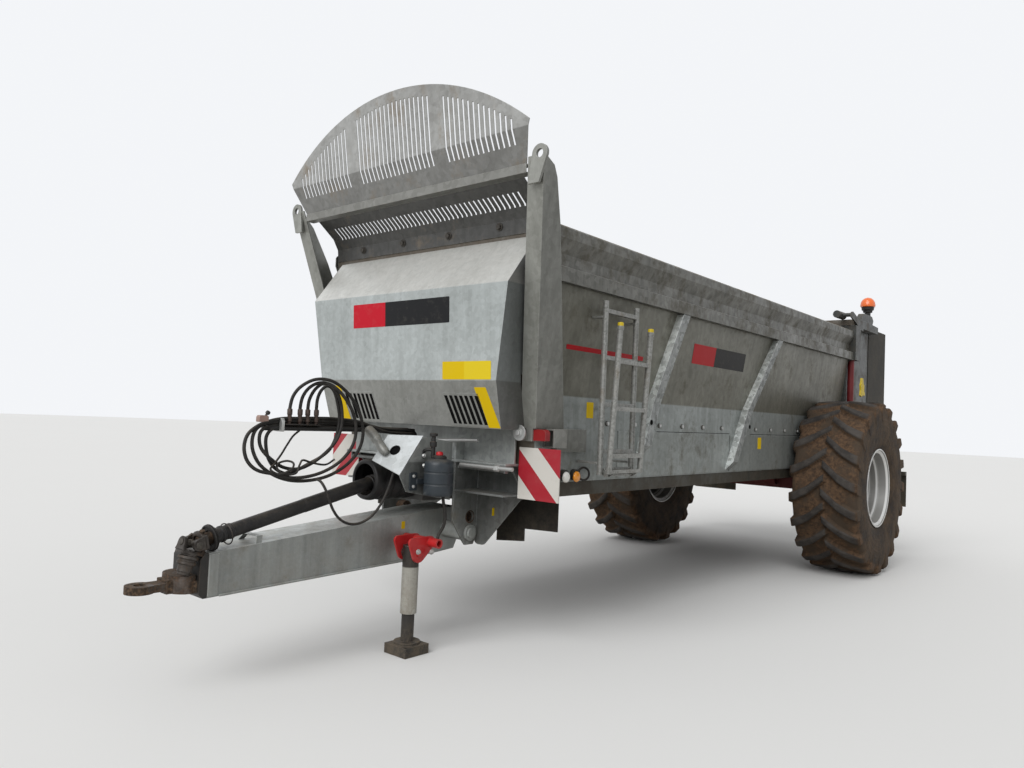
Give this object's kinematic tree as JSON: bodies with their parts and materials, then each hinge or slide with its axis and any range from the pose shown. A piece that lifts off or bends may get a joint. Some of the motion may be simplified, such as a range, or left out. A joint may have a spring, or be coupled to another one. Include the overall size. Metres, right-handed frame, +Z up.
{
  "type": "manure spreader",
  "caption": "Towed galvanised manure spreader with a deep open body, arched slotted headboard, hood, two large lugged wheels, parking jack, drive shaft and upright rear beaters.",
  "frame": {"origin": "on the ground, under the middle of the bounding box, in the machine's middle plane", "axes": "+X to the machine's left, -Y forwards to the towing eye, +Y to the rear, +Z up"},
  "size_m": [2.825, 8.22, 3.1397],
  "materials": {
    "galvanised": "hot-dip galvanised, dull grey with streaks and spangle",
    "galvanised_side": "galvanised side sheets, matt and stained, browner above the fold",
    "galvanised_rail": "galvanised rails and ribs, worn bright on the edges",
    "galvanised_hood": "galvanised hood sheet, blue grey with fine spangle",
    "chassis_grey": "galvanised under frame, dusty",
    "dark_sheet": "black painted sheet, dusty",
    "rusty_steel": "rusty brown steel, greasy where it turns",
    "axle_red": "dark red paint under dust",
    "hub_grey": "dark cast iron",
    "tyre": "muddy brown rubber",
    "rim_white": "silver white paint, dusty",
    "jack_red": "red paint, chipped at the edges",
    "jack_zinc": "dull zinc plate",
    "black_paint": "black paint",
    "gear_grey": "grey paint",
    "guard_black": "black guard plastic, scuffed",
    "reservoir_grey": "grey paint",
    "hose_rubber": "black hose rubber",
    "signal_red": "red and white slanted stripes, reflecting sheet",
    "lamp_amber": "clear lamp lenses in amber and white",
    "chain_steel": "worn brown steel",
    "rubber_dark": "dark rubber sheet",
    "rod_chrome": "chromed rod"
  },
  "bodies": {
    "frame": {"chassis": "chassis_grey", "front_flaps": "dark_sheet", "hitch_frame": "galvanised", "drawbar": "galvanised", "towing_head": "rusty_steel", "towing_eye": "rusty_steel", "floor": "galvanised_side", "front_wall": "galvanised_side", "wall_left": "galvanised_side", "wall_right": "galvanised_side", "top_rail_left": "galvanised_rail", "top_rail_right": "galvanised_rail", "side_ribs": "galvanised_rail", "post_left": "galvanised", "post_right": "galvanised", "post_shoes": "galvanised", "crossbeam": "galvanised", "headboard": "galvanised", "hood": "galvanised_hood", "axle": "axle_red", "jack_bracket": "jack_red", "input_gearbox": "gear_grey", "guard_cone": "guard_black", "driveline": "gear_grey", "service_bracket": "galvanised", "reservoir": "reservoir_grey", "hose_holder": "black_paint", "hose_coil": "hose_rubber", "cable_loop": "hose_rubber", "jack_hose": "hose_rubber", "marker_boards": "signal_red", "front_lamps": "lamp_amber", "ladder": "galvanised_rail", "floor_chains": "chain_steel", "chain_shafts": "chain_steel", "rear_frame": "galvanised", "rear_shields": "rubber_dark", "rear_gearbox": "black_paint", "door_cylinders": "jack_red", "rear_lights": "chassis_grey", "beacon": "lamp_amber"},
    "wheel_left": {"hub_left": "hub_grey", "rim_left": "rim_white", "tyre_left": "tyre"},
    "wheel_right": {"hub_right": "hub_grey", "rim_right": "rim_white", "tyre_right": "tyre"},
    "jack_swing": {"jack_tube": "jack_zinc"},
    "jack_foot": {"jack_leg": "black_paint"},
    "pto_shaft": {"drive_shaft": "guard_black"},
    "pto_yoke": {"shaft_yoke": "rusty_steel"},
    "folding_step": {"ladder_step": "galvanised_rail"},
    "beater_l": {"beater_left": "chain_steel"},
    "beater_r": {"beater_right": "chain_steel"},
    "door": {"rear_door": "galvanised", "door_rods": "rod_chrome"}
  },
  "joints": [
    {"name": "wheel_left_spin", "type": "hinge", "parent": "frame", "child": "wheel_left", "pos_m": [1.122, 2.07, 0.8], "axis": [1, 0, 0], "continuous": true},
    {"name": "wheel_right_spin", "type": "hinge", "parent": "frame", "child": "wheel_right", "pos_m": [-1.122, 2.07, 0.8], "axis": [1, 0, 0], "continuous": true},
    {"name": "jack_fold", "type": "hinge", "parent": "frame", "child": "jack_swing", "pos_m": [0.265, -2.7, 0.54], "axis": [-1, 0, 0], "range_deg": [0, 90]},
    {"name": "jack_extend", "type": "slide", "parent": "jack_swing", "child": "jack_foot", "axis": [0, 0, 1], "range_m": [0, 0.14]},
    {"name": "pto_swing", "type": "hinge", "parent": "frame", "child": "pto_shaft", "pos_m": [0, -2.709, 0.922], "axis": [0, 0, 1], "range_deg": [-12, 6]},
    {"name": "pto_yoke_fold", "type": "hinge", "parent": "pto_shaft", "child": "pto_yoke", "pos_m": [0.09094, -3.86453, 0.67562], "axis": [-0.9969, -0.0785, 0], "range_deg": [0, 60]},
    {"name": "step_fold", "type": "hinge", "parent": "frame", "child": "folding_step", "pos_m": [0.98, -1.7425, 1], "axis": [0, 1, 0], "range_deg": [0, 172]},
    {"name": "beater_left_spin", "type": "hinge", "parent": "frame", "child": "beater_l", "pos_m": [0.392, 3.112, 1.6], "axis": [0, 0, 1], "continuous": true},
    {"name": "beater_right_spin", "type": "hinge", "parent": "frame", "child": "beater_r", "pos_m": [-0.392, 3.112, 1.6], "axis": [0, 0, 1], "continuous": true},
    {"name": "door_lift", "type": "slide", "parent": "frame", "child": "door", "axis": [0, 0, 1], "range_m": [0, 0.94]}
  ],
  "couplings": [
    {"joint": "beater_right_spin", "follows": "beater_left_spin", "ratio": -1}
  ]
}
